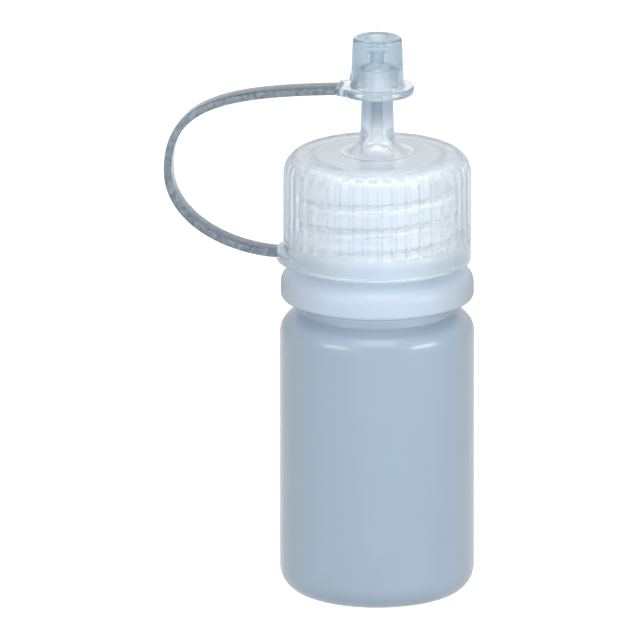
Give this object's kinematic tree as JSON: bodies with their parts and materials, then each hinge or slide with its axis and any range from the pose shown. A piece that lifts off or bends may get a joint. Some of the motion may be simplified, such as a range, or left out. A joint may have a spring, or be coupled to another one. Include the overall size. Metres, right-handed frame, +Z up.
{
  "type": "eye drop bottle",
  "caption": "Translucent squeeze dropper bottle with a ribbed screw closure, a flared nozzle and a tip cap tethered to the closure by a looped strap.",
  "frame": {"origin": "on the bottle's axis, in the plane that it stands on", "axes": "+Z up along the bottle's axis towards the tip cap; the tether's loop reaches out towards -X; -Y is the front seen in the picture"},
  "size_m": [0.04, 0.025, 0.0734],
  "materials": {
    "bottle_plastic": "natural translucent polyethylene, satin",
    "closure_plastic": "natural translucent polypropylene, semi-gloss",
    "spout_plastic": "natural translucent polypropylene, semi-gloss",
    "strap_plastic": "natural translucent polypropylene, semi-gloss",
    "cap_plastic": "natural clear polypropylene, gloss"
  },
  "bodies": {
    "bottle": {"bottle": "bottle_plastic"},
    "spout": {"dropper_spout": "spout_plastic"},
    "closure": {"screw_closure": "closure_plastic", "tether_strap": "strap_plastic"},
    "tip_cap": {"tip_cap": "cap_plastic"}
  },
  "joints": [
    {"name": "closure_lift", "type": "slide", "parent": "bottle", "child": "spout", "axis": [0, 0, 1], "range_m": [0, 0.00636]},
    {"name": "closure_turn", "type": "hinge", "parent": "spout", "child": "closure", "pos_m": [0, 0, 0.0511], "axis": [0, 0, 1], "range_deg": [0, 720]},
    {"name": "tip_cap_pull", "type": "slide", "parent": "closure", "child": "tip_cap", "axis": [0, 0, 1], "range_m": [0, 0.01], "deforming": ["tether_strap"]}
  ],
  "couplings": [
    {"joint": "closure_lift", "follows": "closure_turn", "m_per_rad": 0.00050532}
  ]
}
